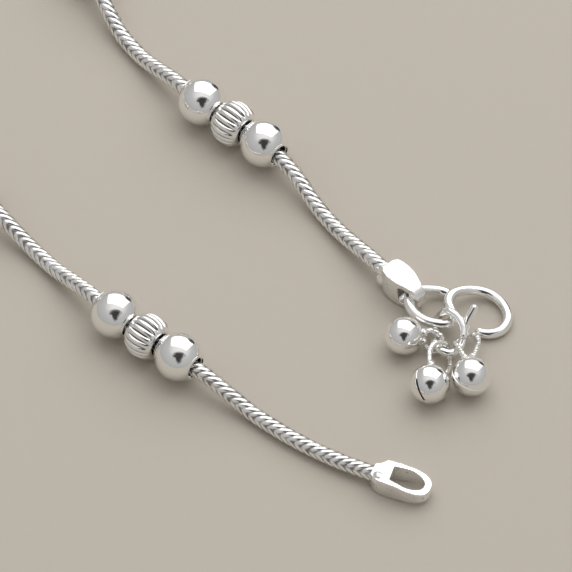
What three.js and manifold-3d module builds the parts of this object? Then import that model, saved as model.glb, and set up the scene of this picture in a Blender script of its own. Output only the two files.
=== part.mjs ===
// A payal anklet laid open on a flat surface. A snake chain carries seven groups of three
// round beads. A cast loop closes each end of the chain, an S-shaped wire hook hangs in one
// of them, and a jump ring on the hook's middle carries three round bells.
// Millimetres, +Z up. The origin is on the surface, under the middle of the whole outline.
import * as THREE from 'three';
import { mergeVertices } from 'three/addons/utils/BufferGeometryUtils.js';
import Module from 'manifold-3d';

// ---- driving dimensions --------------------------------------------------------------

// Moves the sketch below, which is drawn from the middle of the clasp side, so that the
// whole outline is centred on the origin.
const SKETCH_SHIFT = { x: 22.06, y: -23.51 };

const CHAIN = { diameter: 1.7, sides: 8, steps: 78, floorGap: 0.02 };

const BEADS = {
  groups: 7,
  holeDiameter: 2.4,
  pitchInGroup: 4.19,        // centre to centre along the chain
  firstGroup: 23.4,          // from the chain's end at the hook to the first group's middle
  lastGroup: 27.8,           // from the last group's middle to the chain's far end
  chainDrop: 0.18,           // the chain lies this far below the middle of the plain beads
  dipLength: 8,              // over this length the chain comes down to the surface
};
const PLAIN_BEAD = { diameter: 5.0, around: 16, arcSteps: 6 };
const RIBBED_BEAD = { diameter: 4.7, length: 3.5, rimDiameter: 3.2, flutes: 20, fluteDepth: 0.16 };

// The cast end loop: x runs along it from the chain's end, side is half its breadth there.
const END_LOOP = {
  start: -0.3, length: 5.75, startSide: 0.95, shoulder: 3.3, shoulderSide: 1.73,
  eyeStart: 1.65, eyeEnd: 5.05, eyeStartSide: 0.8, eyeShoulder: 3.25, eyeSide: 1.07,
};
// Half the width of the strip that each loop is cast in, along its length.
const HOOK_SIDE_STRIP = [
  { x: -0.3, half: 1.0 }, { x: 0.4, half: 1.26 }, { x: 1.3, half: 1.42 }, { x: 2.5, half: 1.42 },
  { x: 3.6, half: 1.15 }, { x: 4.8, half: 0.68 }, { x: 5.75, half: 0.46 },
];
const FAR_SIDE_STRIP = [
  { x: -0.3, half: 0.98 }, { x: 0.4, half: 1.1 }, { x: 2.0, half: 1.1 },
  { x: 3.3, half: 0.9 }, { x: 4.6, half: 0.66 }, { x: 5.75, half: 0.5 },
];
// Where each end loop's chain end is, and its turn about the vertical.
const HOOK_SIDE_END = { x: 9.85, y: 0.87, turn: -48 };
const FAR_SIDE_END = { x: 9.04, y: -24.65, turn: -22 };
const CHAIN_TO_LOOP_GAP = 0.25;

// The chain's way round, seen from above, from the hook's end to the far end.
const CHAIN_ROUTE = [
  { x: 6.95, y: 4.3 }, { x: 4.9, y: 7.0 }, { x: 3.0, y: 9.72 }, { x: 1.06, y: 12.62 },
  { x: -2.29, y: 16.53 }, { x: -5.46, y: 19.28 }, { x: -8.63, y: 22.04 },
  { x: -11.5, y: 25.17 }, { x: -14.9, y: 29.23 }, { x: -17.45, y: 33.02 }, { x: -19.65, y: 37.95 },
  { x: -23.0, y: 48.0 }, { x: -28.6, y: 59.6 }, { x: -36.4, y: 69.2 }, { x: -46.4, y: 73.8 },
  { x: -56.4, y: 72.2 }, { x: -63.2, y: 65.2 }, { x: -64.6, y: 55.4 }, { x: -61.4, y: 45.2 },
  { x: -55.4, y: 36.0 }, { x: -48.4, y: 28.0 }, { x: -40.9, y: 20.2 }, { x: -33.8, y: 13.2 },
  { x: -29.13, y: 7.72 }, { x: -25.73, y: 4.12 }, { x: -21.77, y: -0.38 },
  { x: -17.03, y: -5.65 }, { x: -13.82, y: -8.35 }, { x: -10.61, y: -11.04 },
  { x: -4.5, y: -15.9 }, { x: 0.3, y: -19.7 }, { x: 5.0, y: -22.7 },
];

const HOOK = { wire: 1.05, sides: 8, steps: 52 };
// The hook's wire, from the end that is tucked in beside its middle, round the small loop
// through the cast end loop, and round the large loop to the free end.
const HOOK_ROUTE = [
  { x: 16.75, y: -1.7, z: 0.62 }, { x: 15.6, y: -1.3, z: 0.85 }, { x: 14.4, y: -1.4, z: 1.2 },
  { x: 13.3, y: -1.75, z: 1.55 }, { x: 12.55, y: -2.45, z: 1.75 }, { x: 12.35, y: -3.45, z: 1.8 },
  { x: 12.8, y: -4.6, z: 1.7 }, { x: 13.8, y: -5.5, z: 1.55 }, { x: 15.2, y: -6.0, z: 1.5 },
  { x: 16.35, y: -5.95, z: 1.5 }, { x: 16.9, y: -5.2, z: 1.6 }, { x: 16.55, y: -4.3, z: 1.8 },
  { x: 16.35, y: -3.5, z: 1.9 }, { x: 16.75, y: -2.5, z: 1.85 }, { x: 17.65, y: -1.75, z: 1.5 },
  { x: 19.05, y: -1.35, z: 1.05 }, { x: 20.5, y: -1.6, z: 0.75 }, { x: 21.6, y: -2.45, z: 0.58 },
  { x: 22.25, y: -3.7, z: 0.53 }, { x: 22.3, y: -4.95, z: 0.53 }, { x: 21.7, y: -6.05, z: 0.53 },
  { x: 20.7, y: -6.5, z: 0.53 }, { x: 19.75, y: -6.45, z: 0.53 }, { x: 19.0, y: -6.1, z: 0.53 },
];

const JUMP_RING = { wire: 0.8, sides: 8, steps: 40 };
// The jump ring is sprung open: it runs from its raised end, down past the bells' loops,
// under the hook's small loop, over the hook's middle and down again beside its start.
const JUMP_RING_ROUTE = [
  { x: 19.1, y: -4.8, z: 3.1 }, { x: 18.65, y: -5.45, z: 2.6 }, { x: 18.2, y: -6.1, z: 2.05 },
  { x: 17.95, y: -6.9, z: 1.6 }, { x: 17.8, y: -7.8, z: 1.35 }, { x: 17.45, y: -8.8, z: 1.25 },
  { x: 16.5, y: -9.55, z: 1.3 }, { x: 15.5, y: -9.3, z: 1.45 }, { x: 14.95, y: -8.4, z: 1.35 },
  { x: 14.85, y: -7.3, z: 0.8 }, { x: 14.9, y: -6.3, z: 0.44 }, { x: 15.05, y: -5.5, z: 0.5 },
  { x: 15.35, y: -5.0, z: 1.1 }, { x: 15.75, y: -5.05, z: 2.0 }, { x: 16.35, y: -5.4, z: 2.8 },
  { x: 17.1, y: -6.05, z: 2.95 }, { x: 17.62, y: -6.85, z: 2.75 }, { x: 17.85, y: -7.65, z: 2.4 },
  { x: 17.7, y: -8.45, z: 2.1 },
];

const BELL = { wall: 0.35, slitWidth: 0.28, around: 16, upDown: 10, loopSides: 6, loopSteps: 24 };
// Each bell: its middle, its radius, the way its slit faces, the slit's plane, and its wire
// loop, which starts and ends inside the bell's wall.
const BELLS = [
  {
    name: 'bell_left', x: 11.84, y: -7.87, radius: 1.95, loopWire: 0.54,
    slitFaces: { x: -0.8, y: -0.3, z: -0.5 }, slitAcross: { x: 0, y: 0.86, z: -0.51 },
    loop: [
      { x: 13.4, y: -7.7, z: 2.1 }, { x: 14.2, y: -7.2, z: 1.9 }, { x: 14.95, y: -7.1, z: 1.65 },
      { x: 15.6, y: -7.5, z: 1.2 }, { x: 15.7, y: -8.1, z: 0.75 }, { x: 15.3, y: -8.7, z: 0.5 },
      { x: 14.6, y: -8.7, z: 0.55 }, { x: 14.0, y: -8.35, z: 1.0 }, { x: 13.4, y: -8.1, z: 1.5 },
    ],
  },
  {
    name: 'bell_middle', x: 14.4, y: -14.0, radius: 2.02, loopWire: 0.56,
    slitFaces: { x: -0.45, y: -0.76, z: 0.47 }, slitAcross: { x: 0.85, y: -0.08, z: 0.51 },
    loop: [
      { x: 14.45, y: -12.3, z: 2.65 }, { x: 14.35, y: -11.1, z: 2.8 }, { x: 14.45, y: -10.2, z: 2.75 },
      { x: 14.85, y: -9.4, z: 2.6 }, { x: 15.45, y: -8.95, z: 2.3 }, { x: 16.05, y: -8.75, z: 1.6 },
      { x: 16.3, y: -8.95, z: 0.8 }, { x: 16.4, y: -9.6, z: 0.4 }, { x: 16.4, y: -10.6, z: 0.45 },
      { x: 16.1, y: -11.6, z: 0.8 }, { x: 15.7, y: -12.8, z: 1.3 },
    ],
  },
  {
    name: 'bell_right', x: 18.55, y: -13.05, radius: 2.02, loopWire: 0.48,
    slitFaces: { x: 0.5, y: 0.6, z: -0.28 }, slitAcross: { x: 0.31, y: 0.19, z: 0.93 },
    loop: [
      { x: 18.7, y: -11.4, z: 2.8 }, { x: 19.1, y: -9.9, z: 2.3 }, { x: 19.35, y: -8.6, z: 1.75 },
      { x: 19.2, y: -7.5, z: 1.35 }, { x: 18.65, y: -6.95, z: 0.95 }, { x: 17.85, y: -7, z: 0.5 },
      { x: 17.15, y: -7.5, z: 0.45 }, { x: 16.85, y: -8.15, z: 1.05 }, { x: 17.0, y: -8.8, z: 1.9 },
      { x: 17.3, y: -9.5, z: 2.2 }, { x: 17.6, y: -10.3, z: 2.5 }, { x: 17.9, y: -11.4, z: 2.8 },
    ],
  },
];

// ---- metal ---------------------------------------------------------------------------

const SILVER = new THREE.MeshStandardMaterial({ color: 0xe6e4df, roughness: 0.18, metalness: 1 });
const SILVER_CHAIN = new THREE.MeshStandardMaterial({ color: 0xdedcd6, roughness: 0.32, metalness: 1 });
const SILVER_CAST = new THREE.MeshStandardMaterial({ color: 0xe8e6e2, roughness: 0.26, metalness: 1 });

// ---- joining and cutting -------------------------------------------------------------

const wasm = await Module();
wasm.setup();

function toSolid(geometry) {
  const bare = geometry.index ? geometry.toNonIndexed() : geometry.clone();
  bare.deleteAttribute('normal');
  bare.deleteAttribute('uv');
  const merged = mergeVertices(bare, 1e-4);
  return new wasm.Manifold(new wasm.Mesh({
    numProp: 3,
    vertProperties: new Float32Array(merged.attributes.position.array),
    triVerts: new Uint32Array(merged.index.array),
  }));
}

function toGeometry(solid) {
  const mesh = solid.getMesh();
  const geometry = new THREE.BufferGeometry();
  geometry.setAttribute('position', new THREE.BufferAttribute(new Float32Array(mesh.vertProperties), 3));
  geometry.setIndex(new THREE.BufferAttribute(new Uint32Array(mesh.triVerts), 1));
  geometry.computeVertexNormals();
  return geometry;
}

// ---- shared shapes -------------------------------------------------------------------

const toVector = ({ x, y, z = 0 }) => new THREE.Vector3(x, y, z);

function roundSection(diameter, sides) {
  const section = new THREE.Shape();
  for (let i = 0; i < sides; i += 1) {
    const angle = (i / sides) * 2 * Math.PI;
    const x = (diameter / 2) * Math.cos(angle);
    const y = (diameter / 2) * Math.sin(angle);
    if (i === 0) section.moveTo(x, y);
    else section.lineTo(x, y);
  }
  section.closePath();
  return section;
}

function wireAlong(curve, diameter, sides, steps) {
  return new THREE.ExtrudeGeometry(roundSection(diameter, sides), {
    extrudePath: curve, steps, bevelEnabled: false, curveSegments: 1,
  });
}

function bentWire(route, { wire, sides, steps }) {
  return wireAlong(new THREE.CatmullRomCurve3(route.map(toVector)), wire, sides, steps);
}

// ---- the chain -----------------------------------------------------------------------

// The point on an end loop's axis where the chain stops, short of the casting.
function chainEnd(end) {
  const reach = END_LOOP.start - CHAIN_TO_LOOP_GAP;
  const turn = THREE.MathUtils.degToRad(end.turn);
  return { x: end.x + reach * Math.cos(turn), y: end.y + reach * Math.sin(turn) };
}

const plan = new THREE.CatmullRomCurve3(
  [chainEnd(HOOK_SIDE_END), ...CHAIN_ROUTE, chainEnd(FAR_SIDE_END)].map(toVector),
);
plan.arcLengthDivisions = 2000;
const chainLength = plan.getLength();
const groupPitch = (chainLength - BEADS.firstGroup - BEADS.lastGroup) / (BEADS.groups - 1);
const groupMiddles = Array.from({ length: BEADS.groups }, (_, i) => BEADS.firstGroup + i * groupPitch);

const hookSideAxisHeight = END_LOOP.shoulderSide;
const farSideAxisHeight = Math.max(...FAR_SIDE_STRIP.map(({ half }) => half));
const lyingHeight = CHAIN.diameter / 2 + CHAIN.floorGap;
const heldHeight = PLAIN_BEAD.diameter / 2 - BEADS.chainDrop;

// The chain lies on the surface, and is lifted where it runs through the beads and into
// the end loops.
function chainHeight(distance) {
  const straight = BEADS.pitchInGroup + PLAIN_BEAD.diameter / 2;
  const lift = (away, height) => {
    const down = THREE.MathUtils.smoothstep(away, 0, BEADS.dipLength);
    return THREE.MathUtils.lerp(height, lyingHeight, down);
  };
  const lifts = groupMiddles.map((middle) => lift(Math.abs(distance - middle) - straight, heldHeight));
  lifts.push(lift(distance, hookSideAxisHeight));
  lifts.push(lift(chainLength - distance, farSideAxisHeight));
  return Math.max(...lifts);
}

class ChainRoute extends THREE.Curve {
  getPoint(t, target = new THREE.Vector3()) {
    plan.getPointAt(t, target);
    target.z = chainHeight(t * chainLength);
    return target;
  }
}

function snakeChain() {
  const mesh = new THREE.Mesh(
    wireAlong(new ChainRoute(), CHAIN.diameter, CHAIN.sides, CHAIN.steps), SILVER_CHAIN,
  );
  mesh.name = 'snake_chain';
  return mesh;
}

// ---- the beads -----------------------------------------------------------------------

// A bead's outline is turned about its hole; the outline closes along the hole's wall.
function turnedBead(outline, around) {
  return new THREE.LatheGeometry([...outline, outline[0].clone()], around);
}

function plainBeadGeometry() {
  const radius = PLAIN_BEAD.diameter / 2;
  const edge = Math.asin(BEADS.holeDiameter / PLAIN_BEAD.diameter);
  const outline = [];
  for (let i = 0; i <= PLAIN_BEAD.arcSteps; i += 1) {
    const angle = THREE.MathUtils.lerp(Math.PI - edge, edge, i / PLAIN_BEAD.arcSteps);
    outline.push(new THREE.Vector2(radius * Math.sin(angle), radius * Math.cos(angle)));
  }
  return turnedBead(outline, PLAIN_BEAD.around);
}

function ribbedBeadGeometry() {
  const { diameter, length, rimDiameter, flutes, fluteDepth } = RIBBED_BEAD;
  const rim = rimDiameter / 2;
  const bulge = diameter / 2 - rim;
  const bodyAt = (share) => new THREE.Vector2(
    rim + bulge * Math.sqrt(1 - share * share), share * (length / 2) * 0.86,
  );
  const outline = [
    new THREE.Vector2(BEADS.holeDiameter / 2, -length / 2),
    new THREE.Vector2(rim, -length / 2),
    ...[-0.85, 0, 0.85].map(bodyAt),
    new THREE.Vector2(rim, length / 2),
    new THREE.Vector2(BEADS.holeDiameter / 2, length / 2),
  ];
  const geometry = turnedBead(outline, flutes * 2);
  const position = geometry.attributes.position;
  for (let i = 0; i < position.count; i += 1) {
    const x = position.getX(i);
    const z = position.getZ(i);
    const radius = Math.hypot(x, z);
    const step = Math.round(Math.atan2(x, z) / (Math.PI / flutes));
    if (radius > rim + 0.01 && step % 2 !== 0) {
      const cut = (radius - fluteDepth) / radius;
      position.setX(i, x * cut);
      position.setZ(i, z * cut);
    }
  }
  return geometry;
}

function placeBead(name, geometry, distance, height) {
  const mesh = new THREE.Mesh(geometry, SILVER);
  const middle = plan.getPointAt(distance / chainLength);
  const along = plan.getTangentAt(distance / chainLength);
  const up = new THREE.Vector3(0, 0, 1);
  const across = new THREE.Vector3().crossVectors(along, up);
  mesh.quaternion.setFromRotationMatrix(new THREE.Matrix4().makeBasis(across, along, up));
  mesh.position.set(middle.x, middle.y, height);
  mesh.name = name;
  return mesh;
}

function beadGroup(number, middle) {
  const group = new THREE.Group();
  const step = BEADS.pitchInGroup;
  const plainHeight = PLAIN_BEAD.diameter / 2;
  const ribbedHeight = RIBBED_BEAD.diameter / 2;
  group.add(placeBead(`bead_${number}_plain_a`, plainBeadGeometry(), middle - step, plainHeight));
  group.add(placeBead(`bead_${number}_ribbed`, ribbedBeadGeometry(), middle, ribbedHeight));
  group.add(placeBead(`bead_${number}_plain_b`, plainBeadGeometry(), middle + step, plainHeight));
  return group;
}

// ---- the cast end loops --------------------------------------------------------------

function endLoopOutline() {
  const { start, length, startSide, shoulder, shoulderSide } = END_LOOP;
  const outline = new THREE.Shape();
  outline.moveTo(start, -startSide);
  outline.lineTo(shoulder, -shoulderSide);
  outline.absellipse(shoulder, 0, length - shoulder, shoulderSide, -Math.PI / 2, Math.PI / 2, false, 0);
  outline.lineTo(start, startSide);
  outline.closePath();
  const { eyeStart, eyeEnd, eyeStartSide, eyeShoulder, eyeSide } = END_LOOP;
  const eye = new THREE.Path();
  eye.moveTo(eyeStart, -eyeStartSide);
  eye.lineTo(eyeShoulder, -eyeSide);
  eye.absellipse(eyeShoulder, 0, eyeEnd - eyeShoulder, eyeSide, -Math.PI / 2, Math.PI / 2, false, 0);
  eye.lineTo(eyeStart, eyeStartSide);
  eye.closePath();
  outline.holes.push(eye);
  return outline;
}

function stripOutline(strip) {
  const outline = new THREE.Shape();
  strip.forEach(({ x, half }, i) => (i === 0 ? outline.moveTo(x, -half) : outline.lineTo(x, -half)));
  [...strip].reverse().forEach(({ x, half }) => outline.lineTo(x, half));
  outline.closePath();
  return outline;
}

// The loop seen through its eye, cut to the strip's changing width. The eye's axis is Z.
function endLoopGeometry(strip) {
  const thick = 4;
  const seenThroughEye = new THREE.ExtrudeGeometry(endLoopOutline(), {
    depth: thick, bevelEnabled: false, curveSegments: 14,
  });
  seenThroughEye.translate(0, 0, -thick / 2);
  const seenFromSide = new THREE.ExtrudeGeometry(stripOutline(strip), {
    depth: thick, bevelEnabled: false,
  });
  seenFromSide.translate(0, 0, -thick / 2);
  seenFromSide.rotateX(Math.PI / 2);
  return toGeometry(toSolid(seenThroughEye).intersect(toSolid(seenFromSide)));
}

function endLoop(name, strip, end, height, eyeAcross) {
  const mesh = new THREE.Mesh(endLoopGeometry(strip), SILVER_CAST);
  mesh.name = name;
  mesh.rotation.x = eyeAcross ? Math.PI / 2 : 0;
  const turned = new THREE.Group();
  turned.position.set(end.x, end.y, height);
  turned.rotation.z = THREE.MathUtils.degToRad(end.turn);
  turned.add(mesh);
  return turned;
}

// ---- the hook, the jump ring and the bells -------------------------------------------

function wirePiece(name, route, size) {
  const mesh = new THREE.Mesh(bentWire(route, size), SILVER);
  mesh.name = name;
  return mesh;
}

// A hollow ball with a slit, and a wire loop soldered to it: all one piece.
function bellGeometry(bell) {
  const middle = new THREE.Vector3(bell.x, bell.y, bell.radius);
  const ball = (radius) => toSolid(
    new THREE.SphereGeometry(radius, BELL.around, BELL.upDown)
      .rotateX(Math.PI / 2)
      .translate(middle.x, middle.y, middle.z),
  );
  const loop = toSolid(bentWire(bell.loop, {
    wire: bell.loopWire, sides: BELL.loopSides, steps: BELL.loopSteps,
  }));
  const faces = toVector(bell.slitFaces).normalize();
  const across = toVector(bell.slitAcross).normalize();
  const along = new THREE.Vector3().crossVectors(across, faces).normalize();
  const slit = new THREE.BoxGeometry(bell.radius * 1.5, BELL.slitWidth, bell.radius * 1.5);
  slit.translate(0, 0, bell.radius * 0.95);
  slit.applyMatrix4(new THREE.Matrix4().makeBasis(
    along, new THREE.Vector3().crossVectors(faces, along), faces,
  ));
  slit.translate(middle.x, middle.y, middle.z);
  const solid = ball(bell.radius).add(loop)
    .subtract(ball(bell.radius - BELL.wall))
    .subtract(toSolid(slit));
  return toGeometry(solid);
}

function roundBell(bell) {
  const mesh = new THREE.Mesh(bellGeometry(bell), SILVER);
  mesh.name = bell.name;
  return mesh;
}

// ---- the anklet ----------------------------------------------------------------------

const anklet = new THREE.Group();
anklet.position.set(SKETCH_SHIFT.x, SKETCH_SHIFT.y, 0);
anklet.add(snakeChain());
groupMiddles.forEach((middle, i) => anklet.add(beadGroup(i + 1, middle)));
anklet.add(endLoop('end_loop_hook_side', HOOK_SIDE_STRIP, HOOK_SIDE_END, hookSideAxisHeight, true));
anklet.add(endLoop('end_loop_far_side', FAR_SIDE_STRIP, FAR_SIDE_END, farSideAxisHeight, false));
anklet.add(wirePiece('s_hook', HOOK_ROUTE, HOOK));
anklet.add(wirePiece('jump_ring', JUMP_RING_ROUTE, JUMP_RING));
BELLS.forEach((bell) => anklet.add(roundBell(bell)));

export default anklet;
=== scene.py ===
"""A silver payal anklet laid open: a snake chain, beads in threes, two cast ends and a clasp.

Every piece is modelled in sketch millimetres, from the middle of the clasp side, and is then
brought to the frame's place and metres.
"""

import math
import random

import bmesh
import bpy
from mathutils import Matrix, Vector


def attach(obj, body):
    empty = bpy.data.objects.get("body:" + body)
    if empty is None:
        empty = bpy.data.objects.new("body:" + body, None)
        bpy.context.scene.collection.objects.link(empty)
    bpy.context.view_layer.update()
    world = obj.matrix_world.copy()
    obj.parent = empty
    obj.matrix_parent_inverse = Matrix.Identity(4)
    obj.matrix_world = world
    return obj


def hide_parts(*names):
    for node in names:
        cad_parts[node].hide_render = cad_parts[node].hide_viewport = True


# ---- sizes, in sketch millimetres -----------------------------------------------------

TO_METRES = 0.001
SKETCH_SHIFT = Vector((22.06, -23.51, 0.0))
UP = Vector((0.0, 0.0, 1.0))

CHAIN_RADIUS = 0.85
LINK_PITCH = 0.83
ROWS = 4
LINK_CORNERS = 16
LINK_WAVE = -0.62
# (along, radius)
LINK_SECTION = ((-0.4, 0.745), (-0.3, 0.812), (0.0, 0.85), (0.3, 0.812), (0.4, 0.745))
ROW_EDGE_DENT = 0.05
CORE_RADIUS = 0.765
CORE_CORNERS = 10

GROUPS = 7
PITCH_IN_GROUP = 4.19
FIRST_GROUP = 23.4
LAST_GROUP = 27.8
DIP_LENGTH = 8.0
ROWS_TURN_BEFORE = math.radians(-8.0)
ROWS_TURN_AFTER = math.radians(14.0)
LYING_HEIGHT = CHAIN_RADIUS + 0.02
HELD_HEIGHT = 2.32

BEAD_RADIUS = 2.5
HOLE_RADIUS = 1.2
BEAD_WALL = 0.24
# (step along the hole, scale of the next ring)
BEAD_LIPS = ((0.015, 0.99), (0.0, 0.98), (-0.05, 0.985), (-0.8, 1.0))
RIBBED_RADIUS = 2.35
RIBBED_LENGTH = 3.4
RIBBED_RINGS = 12
RIBBED_END_ROUNDING = 0.05
RIBBED_END_TIGHTNESS = 12
FLUTES = 20
FLUTE_DEPTH = 0.24
FLUTE_LENGTH = 0.93
FLUTE_SHAPE = (0.0, 0.03, 0.16, 0.62, 1.0, 0.62, 0.16, 0.03)

LOOP_START = -0.3
CHAIN_TO_LOOP = 0.25
CHAIN_INTO_LOOP = 1.1
TIP_MIDDLE = 3.45
TIP_REACH = 2.3
TIP_BLUNTNESS = 0.8
TIP_CORNERS = 28
EYE_HALF_WIDTH = 1.08
EYE_CORNERS = 20
EYE_SLANT = 0.12
BLANK_THICKNESS = 4.0
TRIMMER_WIDTH = 6.0
CAST_SOFTNESS = {"voxel": 0.055, "passes": 7}

# strip: (along, half thickness). heel: the outline's back, (along, across).
# eye_corner: (along, across). on_edge: the loop stands on its side instead of lying flat.
HOOK_SIDE_END = {
    "node": "end_loop_hook_side", "x": 9.85, "y": 0.87, "turn": -48.0, "height": 1.73,
    "on_edge": True, "half_width": 1.66,
    "eye_corner": (3.4, 0.78), "eye_shoulder": 3.65, "eye_end": 5.27,
    "strip": (
        (0.5, 0.3), (0.58, 0.7), (0.85, 1.0), (1.35, 1.2), (2.1, 1.31), (2.9, 1.27),
        (3.7, 1.09), (4.5, 0.85), (5.2, 0.64), (5.85, 0.5),
    ),
    "heel": (
        (0.95, 1.6), (0.6, 1.48), (0.4, 1.22), (0.3, 0.85), (0.3, -0.85), (0.4, -1.22),
        (0.6, -1.48), (0.95, -1.6),
    ),
}
FAR_SIDE_END = {
    "node": "end_loop_far_side", "x": 9.04, "y": -24.65, "turn": -22.0, "height": 1.1,
    "on_edge": False, "half_width": 1.56,
    "eye_corner": (1.65, 0.84), "eye_shoulder": 3.25, "eye_end": 5.05,
    "strip": (
        (-0.5, 0.82), (0.0, 0.93), (0.6, 1.05), (2.0, 1.06), (3.3, 0.9), (4.6, 0.68),
        (5.85, 0.5),
    ),
    "heel": (
        (0.9, 1.44), (0.58, 1.36), (0.34, 1.08), (0.0, 0.84), (-0.45, 0.72), (-0.45, -0.78),
        (-0.15, -1.05), (0.2, -1.3), (0.7, -1.46),
    ),
}

# The solder over the chain's end in each casting: (place, size, squash).
CAST_SOLDER = (
    ((0.15, 0.0, 0.0), 0.86, (0.75, 1.0, 1.0)),
    ((0.45, 0.55, 0.3), 0.5, (1.2, 0.9, 0.9)),
    ((0.4, -0.6, 0.2), 0.52, (1.2, 0.8, 0.9)),
    ((0.35, 0.1, -0.5), 0.6, (1.1, 1.0, 0.7)),
    ((-0.2, 0.25, 0.62), 0.3, (1.3, 1.0, 0.7)),
    ((0.5, -0.72, 0.45), 0.74, (1.1, 1.0, 1.0)),
    ((0.85, 0.35, 0.75), 0.36, (1.2, 1.0, 0.8)),
)

CHAIN_ROUTE = (
    (6.95, 4.3), (4.9, 7.0), (3.0, 9.72), (1.06, 12.62), (-2.29, 16.53), (-5.46, 19.28),
    (-8.63, 22.04), (-11.5, 25.17), (-14.9, 29.23), (-17.45, 33.02), (-19.65, 37.95),
    (-23.0, 48.0), (-28.6, 59.6), (-36.4, 69.2), (-46.4, 73.8), (-56.4, 72.2),
    (-63.2, 65.2), (-64.6, 55.4), (-61.4, 45.2), (-55.4, 36.0), (-48.4, 28.0),
    (-40.9, 20.2), (-33.8, 13.2), (-29.13, 7.72), (-25.73, 4.12), (-21.77, -0.38),
    (-17.03, -5.65), (-13.82, -8.35), (-10.61, -11.04), (-4.5, -15.9), (0.3, -19.7),
    (5.0, -22.7),
)

HOOK_RADIUS = 0.525
HOOK_ROUTE = (
    (16.75, -1.7, 0.62), (15.6, -1.3, 0.85), (14.4, -1.4, 1.2), (13.3, -1.75, 1.55),
    (12.55, -2.45, 1.75), (12.35, -3.45, 1.8), (12.8, -4.6, 1.7), (13.8, -5.5, 1.55),
    (15.2, -6.0, 1.5), (16.35, -5.95, 1.5), (16.9, -5.2, 1.6), (16.55, -4.3, 1.8),
    (16.35, -3.5, 1.9), (16.75, -2.5, 1.85), (17.65, -1.75, 1.5), (19.05, -1.35, 1.05),
    (20.5, -1.6, 0.75), (21.6, -2.45, 0.58), (22.25, -3.7, 0.53), (22.3, -4.95, 0.53),
    (21.7, -6.05, 0.53), (20.7, -6.5, 0.53), (19.75, -6.45, 0.53), (19.0, -6.1, 0.53),
)
RING_RADIUS = 0.4
RING_ROUTE = (
    (19.1, -4.8, 3.1), (18.65, -5.45, 2.6), (18.2, -6.1, 2.05), (17.95, -6.9, 1.6),
    (17.8, -7.8, 1.35), (17.45, -8.8, 1.25), (16.5, -9.55, 1.3), (15.5, -9.3, 1.45),
    (14.95, -8.4, 1.35), (14.85, -7.3, 0.8), (14.9, -6.3, 0.44), (15.05, -5.5, 0.5),
    (15.35, -5.0, 1.1), (15.75, -5.05, 2.0), (16.35, -5.4, 2.8), (17.1, -6.05, 2.95),
    (17.62, -6.85, 2.75), (17.85, -7.65, 2.4), (17.7, -8.45, 2.1),
)

BELL_WALL = 0.3
SLIT_WIDTH = 0.2
SLIT_REACH = math.radians(34)
SEAM_HALF_WIDTH = 0.055
SEAM_PINCH = 0.962
BELL_LOOP_SOFTNESS = {"voxel": 0.045, "passes": 3}
BELL_LOOP_STEP = 0.2
BELL_LOOP_LUMPINESS = 0.14
ROOT_LUMP_SIZE = 1.7
GRAINS_PER_LOOP = 36
GRAIN_SIZES = (0.38, 0.55)
GRAIN_DEPTH = 0.6
GRAIN_CROWDING = 1.4
LUMP_UNEVENNESS = 0.06

# faces: where the slit points. across: the seam's axis. lumps: solder, (x, y, z, size).
BELLS = (
    {
        "name": "bell_left", "middle": (11.84, -7.87, 1.95), "radius": 1.95, "wire": 0.27,
        "seam_shift": 0.0,
        "lumps": ((13.75, -7.45, 2.1, 0.36), (13.55, -8.1, 1.45, 0.34), (15.5, -7.35, 1.35, 0.33)),
        "faces": (-0.8, -0.3, -0.5), "across": (0.0, 0.86, -0.51),
        "loop": (
            (13.4, -7.7, 2.1), (14.2, -7.2, 1.9), (14.95, -7.1, 1.65), (15.6, -7.5, 1.2),
            (15.7, -8.1, 0.75), (15.3, -8.7, 0.5), (14.6, -8.7, 0.55), (14.0, -8.35, 1.0),
            (13.4, -8.1, 1.5),
        ),
    },
    {
        "name": "bell_middle", "middle": (14.4, -14.0, 2.02), "radius": 2.02, "wire": 0.28,
        "seam_shift": -0.4,
        "lumps": ((16.0, -8.8, 1.7, 0.3), (14.45, -12.1, 2.7, 0.36), (16.35, -9.3, 0.6, 0.3)),
        "faces": (-0.45, -0.76, 0.47), "across": (0.85, -0.08, 0.51),
        "loop": (
            (14.45, -12.3, 2.65), (14.35, -11.1, 2.8), (14.45, -10.2, 2.75),
            (14.85, -9.4, 2.6), (15.45, -8.95, 2.3), (16.05, -8.75, 1.6),
            (16.3, -8.95, 0.8), (16.4, -9.6, 0.4), (16.4, -10.6, 0.45),
            (16.1, -11.6, 0.8), (15.7, -12.8, 1.3),
        ),
    },
    {
        "name": "bell_right", "middle": (18.55, -13.05, 2.02), "radius": 2.02, "wire": 0.24,
        "seam_shift": 0.0,
        "lumps": (
            (19.25, -7.75, 1.45, 0.3), (18.9, -7.15, 1.1, 0.33), (18.3, -6.98, 0.72, 0.3),
            (17.35, -9.7, 2.27, 0.3), (17.65, -10.6, 2.6, 0.32),
        ),
        "faces": (0.5, 0.6, -0.28), "across": (0.31, 0.19, 0.93),
        "loop": (
            (18.7, -11.4, 2.8), (19.1, -9.9, 2.3), (19.35, -8.6, 1.75), (19.2, -7.5, 1.35),
            (18.65, -6.95, 0.95), (17.85, -7.0, 0.5), (17.15, -7.5, 0.45), (16.85, -8.15, 1.05),
            (17.0, -8.8, 1.9), (17.3, -9.5, 2.2), (17.6, -10.3, 2.5), (17.9, -11.4, 2.8),
        ),
    },
)

# ---- floor, light and camera, in metres -----------------------------------------------

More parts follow.
